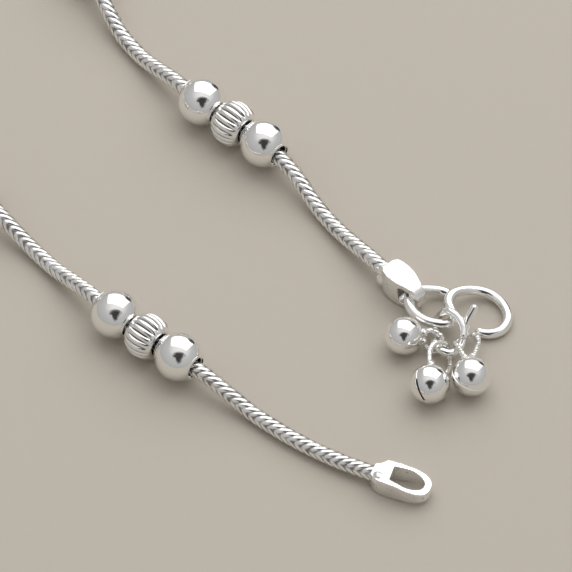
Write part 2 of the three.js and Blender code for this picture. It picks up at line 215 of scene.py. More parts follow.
FLOOR_SIZE = 6.0
FLOOR_DROP = 0.00002
WINDOW = Vector((0.14, 0.45, 0.58))
WINDOW_SIZE = (1.2, 0.95)
WINDOW_POWER = 3.6
WINDOW_COLOUR = (1.0, 0.995, 0.985)
CEILING_GLOW = Vector((0.1, 0.0, 1.0)).normalized()
ROOM_SHADES = ((0.0, 0.33), (0.5, 0.4), (0.8, 0.5), (1.0, 0.85))
CAMERA_TARGET = SKETCH_SHIFT * TO_METRES
CAMERA_ELEVATION = math.radians(52.0)
CAMERA_DISTANCE = 1.0
CAMERA_LENS = 623.0
CAMERA_BACK = Vector((0.0, -math.cos(CAMERA_ELEVATION), math.sin(CAMERA_ELEVATION)))
CAMERA_UP = CAMERA_BACK.cross(Vector((1.0, 0.0, 0.0)))

# Dark cards in the room, for the mirror-bright beads to show: (name, place, size).
DARK_CARDS = (
    ("wide_dark_card", CAMERA_TARGET + CAMERA_BACK * 1.1 + CAMERA_UP * 0.12, (1.5, 0.75)),
    ("tall_dark_card", CAMERA_TARGET + CAMERA_BACK * 1.12 - CAMERA_UP * 0.1, (0.75, 1.3)),
    ("far_dark_card", Vector((0.5, 0.6, 0.17)), (0.42, 0.42)),
)


# ---- small helpers for modelling -------------------------------------------------------


def put_down():
    """Leaves edit mode and deselects everything."""
    if bpy.context.object and bpy.context.object.mode != "OBJECT":
        bpy.ops.object.mode_set(mode="OBJECT")
    bpy.ops.object.select_all(action="DESELECT")


def pick_up(obj):
    put_down()
    obj.select_set(True)
    bpy.context.view_layer.objects.active = obj


def edit(obj):
    pick_up(obj)
    bpy.ops.object.mode_set(mode="EDIT")


def middle_of(element):
    if hasattr(element, "co"):
        return element.co.copy()
    if hasattr(element, "calc_center_median"):
        return element.calc_center_median()
    return (element.verts[0].co + element.verts[1].co) / 2


def pick(obj, test, kind="VERT"):
    """Selects, in edit mode, only the corners, edges or faces whose middle passes the test."""
    bpy.ops.mesh.select_mode(type=kind)
    bpy.ops.mesh.select_all(action="DESELECT")
    mesh = bmesh.from_edit_mesh(obj.data)
    elements = {"VERT": mesh.verts, "EDGE": mesh.edges, "FACE": mesh.faces}[kind]
    for element in elements:
        if test(middle_of(element)):
            element.select_set(True)
    bmesh.update_edit_mesh(obj.data)


def select_rims(obj):
    """Selects the open edges."""
    bpy.ops.mesh.select_mode(type="EDGE")
    bpy.ops.mesh.select_all(action="DESELECT")
    mesh = bmesh.from_edit_mesh(obj.data)
    for edge in mesh.edges:
        if edge.is_boundary:
            edge.select_set(True)
    bmesh.update_edit_mesh(obj.data)


def face_outwards():
    bpy.ops.mesh.select_mode(type="VERT")
    bpy.ops.mesh.select_all(action="SELECT")
    bpy.ops.mesh.remove_doubles(threshold=0.0005)
    bpy.ops.mesh.normals_make_consistent(inside=False)


def extrude_ring(step, scale):
    """Extrudes the selected ring of edges along x and scales the new ring about the x axis."""
    bpy.ops.mesh.extrude_edges_move(TRANSFORM_OT_translate={"value": (step, 0.0, 0.0)})
    bpy.ops.transform.resize(value=(1.0, scale, scale), center_override=(0.0, 0.0, 0.0))


def modify(obj, kind, **settings):
    """Adds a modifier and applies it."""
    pick_up(obj)
    made = obj.modifiers.new(kind.lower(), kind)
    for name, value in settings.items():
        setattr(made, name, value)
    bpy.ops.object.modifier_apply(modifier=made.name)


def run_together(obj, softness):
    """Melts overlapping shapes into one skin and smooths it."""
    modify(obj, "REMESH", mode="VOXEL", voxel_size=softness["voxel"], use_smooth_shade=True)
    modify(obj, "SMOOTH", factor=0.5, iterations=softness["passes"])


def copy_of(obj, name):
    twin = obj.copy()
    twin.data = obj.data.copy()
    twin.name = name
    twin.data.name = name
    bpy.context.scene.collection.objects.link(twin)
    return twin


def discard(obj):
    bpy.data.objects.remove(obj, do_unlink=True)


def join(first, *others):
    """Makes one object of several; it keeps the first one's name."""
    pick_up(first)
    for other in others:
        other.select_set(True)
    bpy.ops.object.join()
    return first


def smooth(obj, degrees=180.0):
    pick_up(obj)
    bpy.ops.object.shade_smooth_by_angle(angle=math.radians(degrees))


def paint(obj, *materials):
    obj.data.materials.clear()
    for material in materials:
        obj.data.materials.append(material)


def settle(obj, node):
    """Brings a finished piece to its place in the frame, in metres, hangs it on the root body and
    hides the CAD part it replaces.
    """
    to_frame = Matrix.Scale(TO_METRES, 4) @ Matrix.Translation(SKETCH_SHIFT)
    obj.data.transform(to_frame @ obj.matrix_world)
    obj.matrix_world = Matrix.Identity(4)
    obj.data.update()
    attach(obj, "root")
    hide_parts(node)


# ---- routes ---------------------------------------------------------------------------


def spline_point(points, share):
    """A point on the smooth curve through the points, at a share of its spans."""
    place = share * (len(points) - 1)
    span = min(int(place), len(points) - 2)
    along = place - span
    p1, p2 = points[span], points[span + 1]
    p0 = points[span - 1] if span > 0 else 2 * p1 - p2
    p3 = points[span + 2] if span + 2 < len(points) else 2 * p2 - p1
    d0, d1, d2 = ((b - a).length ** 0.5 for a, b in ((p0, p1), (p1, p2), (p2, p3)))
    t1 = ((p1 - p0) / d0 - (p2 - p0) / (d0 + d1) + (p2 - p1) / d1) * d1
    t2 = ((p2 - p1) / d1 - (p3 - p1) / (d1 + d2) + (p3 - p2) / d2) * d1
    c2 = -3 * p1 + 3 * p2 - 2 * t1 - t2
    c3 = 2 * p1 - 2 * p2 + t1 + t2
    return p1 + along * (t1 + along * (c2 + along * c3))


class Route:
    """A smooth line through points, read by distance along it."""

    def __init__(self, points, per_span=60):
        points = [Vector((*p, 0.0)[:3]) for p in points]
        count = (len(points) - 1) * per_span
        self.line = [spline_point(points, i / count) for i in range(count + 1)]
        self.reach = [0.0]
        for a, b in zip(self.line, self.line[1:]):
            self.reach.append(self.reach[-1] + (b - a).length)
        self.length = self.reach[-1]

    def at(self, distance):
        distance = min(max(distance, 0.0), self.length)
        low, high = 0, len(self.reach) - 1
        while high - low > 1:
            half = (low + high) // 2
            if self.reach[half] <= distance:
                low = half
            else:
                high = half
        share = (distance - self.reach[low]) / (self.reach[high] - self.reach[low])
        return self.line[low].lerp(self.line[high], share)

    def along(self, distance):
        return (self.at(distance + 0.05) - self.at(distance - 0.05)).normalized()


def smoothstep(x, start, end):
    t = min(max((x - start) / (end - start), 0.0), 1.0)
    return t * t * (3 - 2 * t)


def chain_end(end):
    """The point on an end loop's axis, seen from above, where the chain stops."""
    turn = math.radians(end["turn"])
    reach = LOOP_START - CHAIN_TO_LOOP
    return (end["x"] + reach * math.cos(turn), end["y"] + reach * math.sin(turn))


PLAN = Route((chain_end(HOOK_SIDE_END), *CHAIN_ROUTE, chain_end(FAR_SIDE_END)))
GROUP_PITCH = (PLAN.length - FIRST_GROUP - LAST_GROUP) / (GROUPS - 1)
GROUP_MIDDLES = [FIRST_GROUP + i * GROUP_PITCH for i in range(GROUPS)]


def chain_height(distance):
    """The chain lies on the surface, and is lifted through the beads and into the end loops."""

    def lift(away, height):
        down = smoothstep(away, 0.0, DIP_LENGTH)
        return height + (LYING_HEIGHT - height) * down

    straight = PITCH_IN_GROUP + BEAD_RADIUS
    lifts = [lift(abs(distance - middle) - straight, HELD_HEIGHT) for middle in GROUP_MIDDLES]
    lifts.append(lift(distance, HOOK_SIDE_END["height"]))
    lifts.append(lift(PLAN.length - distance, FAR_SIDE_END["height"]))
    return max(lifts)


def chain_line(step=0.2):
    """Points along the chain's middle, running a little way into each end loop."""
    count = int(PLAN.length / step)
    line = []
    for i in range(count + 1):
        distance = PLAN.length * i / count
        point = PLAN.at(distance)
        point.z = chain_height(distance)
        line.append(point)
    before = line[0] - CHAIN_INTO_LOOP * (line[1] - line[0]).normalized()
    after = line[-1] + CHAIN_INTO_LOOP * (line[-1] - line[-2]).normalized()
    return [before, *line, after]


def row_turns(count):
    """How far the chain is twisted at each of its points: it turns inside the last beads."""
    start = 1.0 - (LAST_GROUP + PITCH_IN_GROUP) / PLAN.length
    end = 1.0 - (LAST_GROUP - PITCH_IN_GROUP) / PLAN.length
    change = ROWS_TURN_AFTER - ROWS_TURN_BEFORE
    return [ROWS_TURN_BEFORE + change * smoothstep(i / count, start, end) for i in range(count)]


def curve_through(name, points, radii=None, thickness=0.0, around=6, tilts=None):
    """A curve object through the points; with a thickness it is a round wire."""
    curve = bpy.data.curves.new(name, "CURVE")
    curve.dimensions = "3D"
    curve.twist_mode = "Z_UP" if thickness == 0.0 else "MINIMUM"
    curve.bevel_depth = thickness
    curve.bevel_resolution = around
    curve.use_fill_caps = thickness > 0.0
    spline = curve.splines.new("POLY")
    spline.points.add(len(points) - 1)
    for i, point in enumerate(points):
        spline.points[i].co = (*point, 1.0)
        spline.points[i].radius = radii[i] if radii else 1.0
        spline.points[i].tilt = tilts[i] if tilts else 0.0
    obj = bpy.data.objects.new(name, curve)
    bpy.context.scene.collection.objects.link(obj)
    return obj


def bent_wire(name, route, radius, step=0.12, lumps=0.0, seed=1, around=6):
    """A round wire along a route, with rounded ends; lumps vary its thickness."""
    line = Route(route)
    count = int(line.length / step)
    distances = [line.length * i / count for i in range(count + 1)]
    rounding = [radius * (1 - math.cos(math.radians(a))) for a in (4, 20, 35, 50, 65, 80)]
    inner = [d for d in distances if radius * 1.1 < d < line.length - radius * 1.1]
    distances = [*rounding, *inner, *(line.length - r for r in reversed(rounding))]
    chance = random.Random(seed)
    points, radii = [], []
    for distance in distances:
        from_end = min(distance, line.length - distance)
        inside = max(0.0, 1.0 - from_end / radius)
        share = math.sqrt(1.0 - inside * inside) if inside < 1.0 else 0.0
        points.append(line.at(distance))
        radii.append(share * (1.0 + lumps * chance.uniform(-1.0, 1.0)))
    obj = curve_through(name, points, radii, radius, around)
    pick_up(obj)
    bpy.ops.object.convert(target="MESH")
    obj = bpy.context.object
    edit(obj)
    face_outwards()
    put_down()
    return obj


# ---- finishes -------------------------------------------------------------------------


class Signal:
    """What a socket gives, so that shader maths is written as plain sums."""

    def __init__(self, finish, socket):
        self.finish = finish
        self.socket = socket

    def maths(self, operation, first, second):
        return self.finish.node("ShaderNodeMath", {"operation": operation}, {0: first, 1: second})

    def __add__(self, other):
        return self.maths("ADD", self, other)

    __radd__ = __add__

    def __sub__(self, other):
        return self.maths("SUBTRACT", self, other)

    def __rsub__(self, other):
        return self.maths("SUBTRACT", other, self)

    def __mul__(self, other):
        return self.maths("MULTIPLY", self, other)

    __rmul__ = __mul__


class Finish:
    """One material, built node by node."""

    def __init__(self, name, tree=None):
        if tree is None:
            self.material = bpy.data.materials.new(name)
            self.material.use_nodes = True
            tree = self.material.node_tree
        self.tree = tree
        self.tree.nodes.clear()

    def node(self, kind, settings=None, sockets=None, output=0):
        made = self.tree.nodes.new(kind)
        for name, value in (settings or {}).items():
            if name == "stops":
                self.set_stops(made.color_ramp, value)
            else:
                setattr(made, name, value)
        for key, value in (sockets or {}).items():
            if isinstance(value, Signal):
                self.tree.links.new(value.socket, made.inputs[key])
            else:
                made.inputs[key].default_value = value
        return Signal(self, made.outputs[output]) if made.outputs else None

    @staticmethod
    def set_stops(ramp, stops):
        while len(ramp.elements) < len(stops):
            ramp.elements.new(1.0)
        for element, (place, shade) in zip(ramp.elements, stops):
            element.position = place
            element.color = (shade, shade, shade, 1.0)

    def place(self):
        return self.node("ShaderNodeTexCoord", output="Object")

    def noise(self, vector, scale, detail=3.0, roughness=0.5):
        sockets = {"Vector": vector, "Scale": scale, "Detail": detail, "Roughness": roughness}
        return self.node("ShaderNodeTexNoise", sockets=sockets, output="Fac")

    def ramp(self, value, *stops):
        return self.node("ShaderNodeValToRGB", {"stops": stops}, {"Fac": value})

    def stretched(self, vector, scale, turn=(0.0, 0.0, 0.0)):
        return self.node(
            "ShaderNodeMapping", sockets={"Vector": vector, "Scale": scale, "Rotation": turn}
        )

    def mix(self, factor, first, second):
        """A colour between two others."""
        sockets = {0: factor, 6: first, 7: second}
        return self.node("ShaderNodeMix", {"data_type": "RGBA"}, sockets, output=2)

    def bump(self, height, strength, distance, under=None):
        sockets = {"Height": height, "Strength": strength, "Distance": distance}
        if under is not None:
            sockets["Normal"] = under
        return self.node("ShaderNodeBump", sockets=sockets)

    def done(self, **sockets):
        """Ends the material in a shader with these sockets."""
        named = {name.replace("_", " "): value for name, value in sockets.items()}
        shader = self.node("ShaderNodeBsdfPrincipled", sockets=named)
        self.node("ShaderNodeOutputMaterial", sockets={"Surface": shader})
        return self.material


BRIGHT_SILVER = (0.965, 0.960, 0.945, 1.0)
CLOUDED_SILVER = (0.86, 0.85, 0.825, 1.0)
# Tarnish for the cast pits; also painted shade in the chain's gaps and in the ribbed beads' flutes
# and hole.
TARNISH_AND_SHADE = (0.15, 0.125, 0.1, 1.0)
PALE_BOARD = (0.62, 0.565, 0.49, 1.0)
WORN_BOARD = (0.56, 0.505, 0.43, 1.0)
CARD_BLACK = (0.01, 0.01, 0.012, 1.0)
CARD_GREY = (0.13, 0.13, 0.14, 1.0)


def polished_silver():
    """Buffed to a mirror: faint haze, hairline scratches and the odd shallow dent."""
    finish = Finish("polished_silver")
    place = finish.place()
    haze = finish.ramp(finish.noise(place, 420.0, 4.0, 0.6), (0.35, 0.0), (0.75, 1.0))
    hairs = finish.noise(finish.stretched(place, (9000.0, 900.0, 900.0), (0.5, 0.3, 0.9)), 1.0, 2.0)
    crossed = finish.noise(finish.stretched(place, (700.0, 8000.0, 700.0), (0.2, 1.1, 0.4)), 1.0, 2.0)
    dents = finish.noise(place, 700.0, 1.0, 0.4)
    # The ribbed beads' depth mark darkens their flute valleys, partly tarnish and partly painted
    # shade, and paints the wall of their hole fully shaded.
    depth = finish.node("ShaderNodeAttribute", {"attribute_name": "depth"}, output="Fac")
    groove_tarnish_and_shade = finish.ramp(depth, (0.22, 0.0), (0.75, 1.0))
    colour = finish.mix(haze * 0.35, BRIGHT_SILVER, CLOUDED_SILVER)
    colour = finish.mix(groove_tarnish_and_shade * 0.85, colour, TARNISH_AND_SHADE)
    scratches = finish.ramp(hairs, (0.55, 0.0), (0.75, 1.0))
    roughness = 0.075 + groove_tarnish_and_shade * 0.15 + haze * 0.06 + scratches * 0.05
    normal = finish.bump(dents, 0.25, 0.00002)
    normal = finish.bump(hairs + crossed, 0.12, 0.000004, normal)
    return finish.done(Base_Color=colour, Metallic=1.0, Roughness=roughness, Normal=normal)


def cast_silver():
    """Cast, filed and lightly buffed: soft dimples, file marks and a satin bloom."""
    finish = Finish("cast_silver")
    place = finish.place()
    bloom = finish.ramp(finish.noise(place, 600.0, 4.0, 0.6), (0.3, 0.0), (0.75, 1.0))
    dimples = finish.noise(place, 1100.0, 3.0, 0.55)
    files = finish.noise(finish.stretched(place, (600.0, 5000.0, 900.0), (0.1, 0.2, 0.5)), 1.0, 2.0)
    pits = finish.ramp(finish.noise(place, 3800.0, 2.0, 0.5), (0.24, 1.0), (0.36, 0.0))
    colour = finish.mix(bloom * 0.7, BRIGHT_SILVER, CLOUDED_SILVER)
    colour = finish.mix(pits * 0.5, colour, TARNISH_AND_SHADE)
    roughness = 0.17 + bloom * 0.12 + pits * 0.2
    normal = finish.bump(dimples, 0.6, 0.00008)
    normal = finish.bump(files - pits, 0.2, 0.00001, normal)
    return finish.done(Base_Color=colour, Metallic=1.0, Roughness=roughness, Normal=normal)


def chain_silver():
    """The links' faces are burnished by wear; their edges and the core in the gaps are darkened,
    partly grey tarnish and partly painted shade.
    """
    finish = Finish("chain_silver")
    place = finish.place()
    depth = finish.node("ShaderNodeAttribute", {"attribute_name": "depth"}, output="Fac")
    patches = finish.ramp(finish.noise(place, 350.0, 3.0, 0.6), (0.3, 0.0), (0.75, 1.0))
    grain = finish.noise(place, 5200.0, 3.0, 0.6)
    scuffs = finish.noise(finish.stretched(place, (1200.0, 4200.0, 1200.0)), 1.0, 2.0)
    wear = finish.noise(place, 1400.0, 2.0, 0.5)
    # Darker the deeper a corner lies, broken up by noise: partly tarnish, partly painted shade in the
    # gaps between links.
    gap_tarnish_and_shade = finish.ramp(depth + (grain - 0.5) * 0.35 + (wear - 0.5) * 1.6, (0.5, 0.0), (1.05, 1.0))
    colour = finish.mix(patches * 0.35, BRIGHT_SILVER, CLOUDED_SILVER)
    colour = finish.mix(gap_tarnish_and_shade * 0.8, colour, TARNISH_AND_SHADE)
    roughness = 0.15 + patches * 0.07 + grain * 0.08 + gap_tarnish_and_shade * 0.25
    normal = finish.bump(grain + scuffs, 0.35, 0.000015)
    return finish.done(Base_Color=colour, Metallic=1.0, Roughness=roughness, Normal=normal)


def pale_board():
    """The pale, matt board the anklet lies on."""
    finish = Finish("pale_board")
    place = finish.place()
    tooth = finish.noise(place, 900.0, 4.0, 0.6)
    colour = finish.mix(tooth * 0.25, PALE_BOARD, WORN_BOARD)
    normal = finish.bump(tooth, 0.1, 0.0001)
    return finish.done(Base_Color=colour, Roughness=0.9, Normal=normal)


# ---- the snake chain ------------------------------------------------------------------


def wave_at(corner):
    """How far forward a link's corner is: two even zigzags go round each link."""
    place = (corner / LINK_CORNERS * 2.0) % 1.0
    return LINK_WAVE * (1.0 - abs(((place - 0.25) % 1.0) * 4.0 - 2.0))


def chain_link():
    """One link: a zigzag band round the chain, over a short length of the chain's core."""
    (start, first), *rest = LINK_SECTION
    bpy.ops.mesh.primitive_circle_add(
        vertices=LINK_CORNERS, radius=first, location=(0, 0, 0), rotation=(0, math.pi / 2, 0)
    )
    link = bpy.context.object
    link.name = "chain_link"
    bpy.ops.object.transform_apply(location=True, rotation=True, scale=True)
    edit(link)
    bpy.ops.mesh.select_mode(type="EDGE")
    bpy.ops.mesh.select_all(action="SELECT")
    bpy.ops.transform.translate(value=(start, 0.0, 0.0))
    before_x, before_radius = start, first
    for x, radius in rest:
        extrude_ring(x - before_x, radius / before_radius)
        before_x, before_radius = x, radius
    select_rims(link)
    bpy.ops.mesh.bridge_edge_loops()
    shape_zigzag(link)
    bpy.ops.mesh.primitive_cylinder_add(
        vertices=CORE_CORNERS, radius=CORE_RADIUS, depth=LINK_PITCH, end_fill_type="NOTHING",
        rotation=(0, math.pi / 2, 0),
    )
    bpy.ops.mesh.select_all(action="SELECT")
    bpy.ops.mesh.normals_make_consistent(inside=False)
    put_down()
    return link


def shape_zigzag(link):
    """Moves each corner's column of the band along the chain, and dents the rows' edges."""
    for corner in range(LINK_CORNERS):
        angle = corner / LINK_CORNERS * 2 * math.pi
        out = Vector((0.0, math.sin(angle), math.cos(angle)))
        pick(link, lambda p: p.yz.normalized().dot(out.yz) > 0.995)
        bpy.ops.transform.translate(value=(wave_at(corner), 0.0, 0.0))
        if corner % (LINK_CORNERS // ROWS) == 2:
            dent = 1.0 - ROW_EDGE_DENT
            bpy.ops.transform.resize(value=(1.0, dent, dent), center_override=(0.0, 0.0, 0.0))


def mark_depth(link):
    """Stores how far below the burnished faces each corner lies, for the darkening of the edges and
    gaps: partly tarnish, partly painted shade.
    """
    marks = link.data.attributes.new("depth", "FLOAT", "POINT")
    deepest = CHAIN_RADIUS - CORE_RADIUS
    for i, vertex in enumerate(link.data.vertices):
        below = CHAIN_RADIUS - vertex.co.yz.length
        marks.data[i].value = min(max(below / deepest, 0.0), 1.0)


def snake_chain(material):
    line = chain_line()
    length = sum((b - a).length for a, b in zip(line, line[1:]))
    count = round(length / LINK_PITCH)
    link = chain_link()
    mark_depth(link)
    link.name = "snake_chain_links"
    route = curve_through("chain_route", line, tilts=row_turns(len(line)))
    modify(
        link, "ARRAY", count=count, use_relative_offset=False, use_constant_offset=True,
        constant_offset_displace=(length / count, 0.0, 0.0), use_merge_vertices=True,
        merge_threshold=0.004,
    )
    link.data.transform(Matrix.Translation((length / count / 2, 0.0, 0.0)))
    modify(link, "CURVE", object=route, deform_axis="POS_X")
    discard(route)
    edit(link)
    bpy.ops.mesh.select_all(action="SELECT")
    bpy.ops.mesh.fill_holes(sides=0)
    put_down()
    smooth(link, 38.0)
    paint(link, material)
    settle(link, "snake_chain")


# ---- the beads ------------------------------------------------------------------------


def plain_bead():
    """A hollow round bead: a ball opened at both ends, with a wall and rolled-in lips."""
    bpy.ops.mesh.primitive_uv_sphere_add(
        segments=72, ring_count=48, radius=BEAD_RADIUS, rotation=(0, math.pi / 2, 0)
    )
    bead = bpy.context.object
    bead.name = "plain_bead"
    bpy.ops.object.transform_apply(location=True, rotation=True, scale=True)
    edit(bead)
    reach = math.sqrt(BEAD_RADIUS**2 - (HOLE_RADIUS + 0.02) ** 2)
    for side in (1.0, -1.0):
        bpy.ops.mesh.select_all(action="SELECT")
        bpy.ops.mesh.bisect(
            plane_co=(side * reach, 0, 0), plane_no=(side, 0, 0), clear_outer=True
        )
    for side in (1.0, -1.0):
        pick(bead, lambda p: p.x * side > reach - 0.001, "EDGE")
        for step, scale in BEAD_LIPS:
            extrude_ring(side * step, scale)
    face_outwards()
    put_down()
    modify(bead, "SOLIDIFY", thickness=BEAD_WALL, offset=-1.0)
    smooth(bead, 60.0)
    return bead


def ribbed_section():
    """The ribbed bead's outline: (x, radius, how deep the flutes are there)."""
    half = RIBBED_LENGTH / 2
    lip = HOLE_RADIUS + 0.03
    section = [(-half + 0.12, HOLE_RADIUS - 0.02, 0.0), (-half + 0.02, lip, 0.0)]
    for i in range(-RIBBED_RINGS, RIBBED_RINGS + 1):
        share = math.sin(i / RIBBED_RINGS * math.pi / 2)
        x = share * (half - 0.03)
        rounding = RIBBED_END_ROUNDING * abs(share) ** RIBBED_END_TIGHTNESS
        radius = math.sqrt(RIBBED_RADIUS**2 - x**2) - rounding
        depth = FLUTE_DEPTH * max(0.0, 1.0 - abs(x / (half * FLUTE_LENGTH)) ** 3.0)
        section.append((x, radius, depth))
    section += [(half - 0.02, lip, 0.0), (half - 0.12, HOLE_RADIUS - 0.02, 0.0)]
    return section


def ribbed_bead():
    """A fluted bead: rings drawn out along the hole, then every flute's valley pressed in."""
    section = ribbed_section()
    (start, first, _), *rest = section
    bpy.ops.mesh.primitive_circle_add(
        vertices=FLUTES * len(FLUTE_SHAPE), radius=first, rotation=(0, math.pi / 2, 0)
    )
    bead = bpy.context.object
    bead.name = "ribbed_bead"
    bpy.ops.object.transform_apply(location=True, rotation=True, scale=True)
    edit(bead)
    bpy.ops.mesh.select_mode(type="EDGE")
    bpy.ops.mesh.select_all(action="SELECT")
    bpy.ops.transform.translate(value=(start, 0.0, 0.0))
    before_x, before_radius = start, first
    for x, radius, _ in rest:
        extrude_ring(x - before_x, radius / before_radius)
        before_x, before_radius = x, radius
    select_rims(bead)
    bpy.ops.mesh.bridge_edge_loops()
    press_flutes(bead, section)
    face_outwards()
    put_down()
    mark_flutes(bead)
    smooth(bead, 50.0)
    return bead


def in_flute(point):
    """Which of a flute's corners this one is, counted round the hole."""
    step = 2 * math.pi / (FLUTES * len(FLUTE_SHAPE))
    return round(math.atan2(point.y, point.z) / step) % len(FLUTE_SHAPE)


def press_flutes(bead, section):
    """Scales the valley corners of each ring in towards the hole."""
    for x, radius, depth in section:
        if depth <= 0.0:
            continue
        for share in sorted(set(FLUTE_SHAPE) - {0.0}):
            pick(bead, lambda p: abs(p.x - x) < 1e-4 and FLUTE_SHAPE[in_flute(p)] == share)
            scale = 1.0 - depth * share / radius
            bpy.ops.transform.resize(value=(1.0, scale, scale), center_override=(x, 0, 0))


def mark_flutes(bead):
    """Stores how deep in its flute each corner lies, for the darkening there, partly tarnish and
    partly painted shade; the hole's wall is marked fully, as painted shade inside the hole.
    """
    marks = bead.data.attributes.new("depth", "FLOAT", "POINT")
    for i, vertex in enumerate(bead.data.vertices):
        full = math.sqrt(max(RIBBED_RADIUS**2 - vertex.co.x**2, 0.0))
        below = (full - vertex.co.yz.length) / FLUTE_DEPTH
        deep = below * FLUTE_SHAPE[in_flute(vertex.co)]
        # The hole's wall gets the full mark: painted shade inside the hole.
        inside = 1.0 if vertex.co.yz.length < HOLE_RADIUS + 0.01 else 0.0
        marks.data[i].value = min(max(deep, inside), 1.0)


def place_bead(pattern, name, distance, height, material, spin):
    bead = copy_of(pattern, name)
    middle = PLAN.at(distance)
    middle.z = height
    along = PLAN.along(distance)
    across = UP.cross(along)
    turn = Matrix((along, across, UP)).transposed().to_4x4()
    bead.matrix_world = Matrix.Translation(middle) @ turn @ Matrix.Rotation(spin, 4, "X")
    paint(bead, material)
    return bead


def bead_groups(material):
    plain, ribbed = plain_bead(), ribbed_bead()
    chance = random.Random(5)
    for number, middle in enumerate(GROUP_MIDDLES, start=1):
        parts = (
            ("plain_a", plain, middle - PITCH_IN_GROUP, BEAD_RADIUS),
            ("ribbed", ribbed, middle, RIBBED_RADIUS),
            ("plain_b", plain, middle + PITCH_IN_GROUP, BEAD_RADIUS),
        )
        for kind, pattern, distance, height in parts:
            node = f"bead_{number}_{kind}"
            spin = chance.uniform(0.0, 2 * math.pi)
            bead = place_bead(pattern, "silver_" + node, distance, height, material, spin)
            settle(bead, node)
    discard(plain)
    discard(ribbed)


# ---- the cast ends --------------------------------------------------------------------


def half_ellipse(middle, reach, side, corners):
    angles = [math.pi * (i / corners - 0.5) for i in range(corners + 1)]
    return [(middle + reach * math.cos(a), side * math.sin(a)) for a in angles]


def rounded_tip(middle, reach, side, corners):
    """Half of a squarish oval, from one side round the tip to the other."""
    tip = []
    for i in range(corners + 1):
        angle = math.pi * (i / corners - 0.5)
        x = middle + reach * abs(math.cos(angle)) ** TIP_BLUNTNESS
        y = math.copysign(abs(math.sin(angle)) ** TIP_BLUNTNESS, math.sin(angle)) * side
        tip.append((x, y))
    return tip


def flat_solid(name, outlines, thick):
    """A flat shape with the outlines given, thickened evenly about its plane."""
    curve = bpy.data.curves.new(name, "CURVE")
    curve.dimensions = "2D"
    curve.fill_mode = "BOTH"
    curve.extrude = thick / 2
    for outline in outlines:
        spline = curve.splines.new("POLY")
        spline.points.add(len(outline) - 1)
        for point, (x, y) in zip(spline.points, outline):
            point.co = (x, y, 0.0, 1.0)
        spline.use_cyclic_u = True
    obj = bpy.data.objects.new(name, curve)
    bpy.context.scene.collection.objects.link(obj)
    pick_up(obj)
    bpy.ops.object.convert(target="MESH")
    obj = bpy.context.object
    edit(obj)
    face_outwards()
    put_down()
    return obj


def solder_lump(place, size, squash=(1.0, 1.0, 1.0), seed=0):
    """A blob of solder, a little uneven."""
    bpy.ops.mesh.primitive_ico_sphere_add(subdivisions=3, radius=size, location=place)
    lump = bpy.context.object
    lump.scale = squash
    bpy.ops.object.transform_apply(location=True, rotation=True, scale=True)
    edit(lump)
    bpy.ops.mesh.select_all(action="SELECT")
    bpy.ops.transform.vertex_random(offset=size * LUMP_UNEVENNESS, uniform=0.0, normal=1.0, seed=seed)
    put_down()
    return lump


def casting_outlines(end):
    """The loop seen flat: its outer edge, and its eye."""
    outer = [*rounded_tip(TIP_MIDDLE, TIP_REACH, end["half_width"], TIP_CORNERS), *end["heel"]]
    shoulder = end["eye_shoulder"]
    rim = half_ellipse(shoulder, end["eye_end"] - shoulder, EYE_HALF_WIDTH, EYE_CORNERS)
    x, y = end["eye_corner"]
    return outer, [(x, -y), *rim, (x - EYE_SLANT, y)]


def trim_to_strip(loop, strip):
    """Keeps what lies inside the strip's side view, which is thinner towards the tip."""
    edge = Route(strip, 6).line
    sides = [(p.x, -p.y) for p in edge] + [(p.x, p.y) for p in reversed(edge)]
    side_view = flat_solid(loop.name + "_strip", (sides,), TRIMMER_WIDTH)
    side_view.data.transform(Matrix.Rotation(math.pi / 2, 4, "X"))
    modify(loop, "BOOLEAN", operation="INTERSECT", object=side_view, solver="EXACT")
    discard(side_view)


def end_loop(end):
    """A D-shaped loop cast in a strip of changing width, soldered over the chain's end."""
    loop = flat_solid("cast_" + end["node"], casting_outlines(end), BLANK_THICKNESS)
    trim_to_strip(loop, end["strip"])
    lumps = [solder_lump(*lump, seed) for seed, lump in enumerate(CAST_SOLDER, start=1)]
    join(loop, *lumps)
    run_together(loop, CAST_SOFTNESS)
    turn = Matrix.Rotation(math.radians(end["turn"]), 4, "Z")
    tip_over = Matrix.Rotation(math.pi / 2 if end["on_edge"] else 0.0, 4, "X")
    loop.matrix_world = Matrix.Translation((end["x"], end["y"], end["height"])) @ turn @ tip_over
    return loop


def cast_ends(material):
    for end in (HOOK_SIDE_END, FAR_SIDE_END):
        loop = end_loop(end)
        smooth(loop)
        paint(loop, material)
        settle(loop, end["node"])


# ---- the hook, the jump ring and the bells --------------------------------------------


def hook_and_ring(material):
    hook = bent_wire("silver_s_hook", HOOK_ROUTE, HOOK_RADIUS, around=8)
    ring = bent_wire("silver_jump_ring", RING_ROUTE, RING_RADIUS, around=7)
    for obj, node in ((hook, "s_hook"), (ring, "jump_ring")):
        smooth(obj)
        paint(obj, material)
        settle(obj, node)


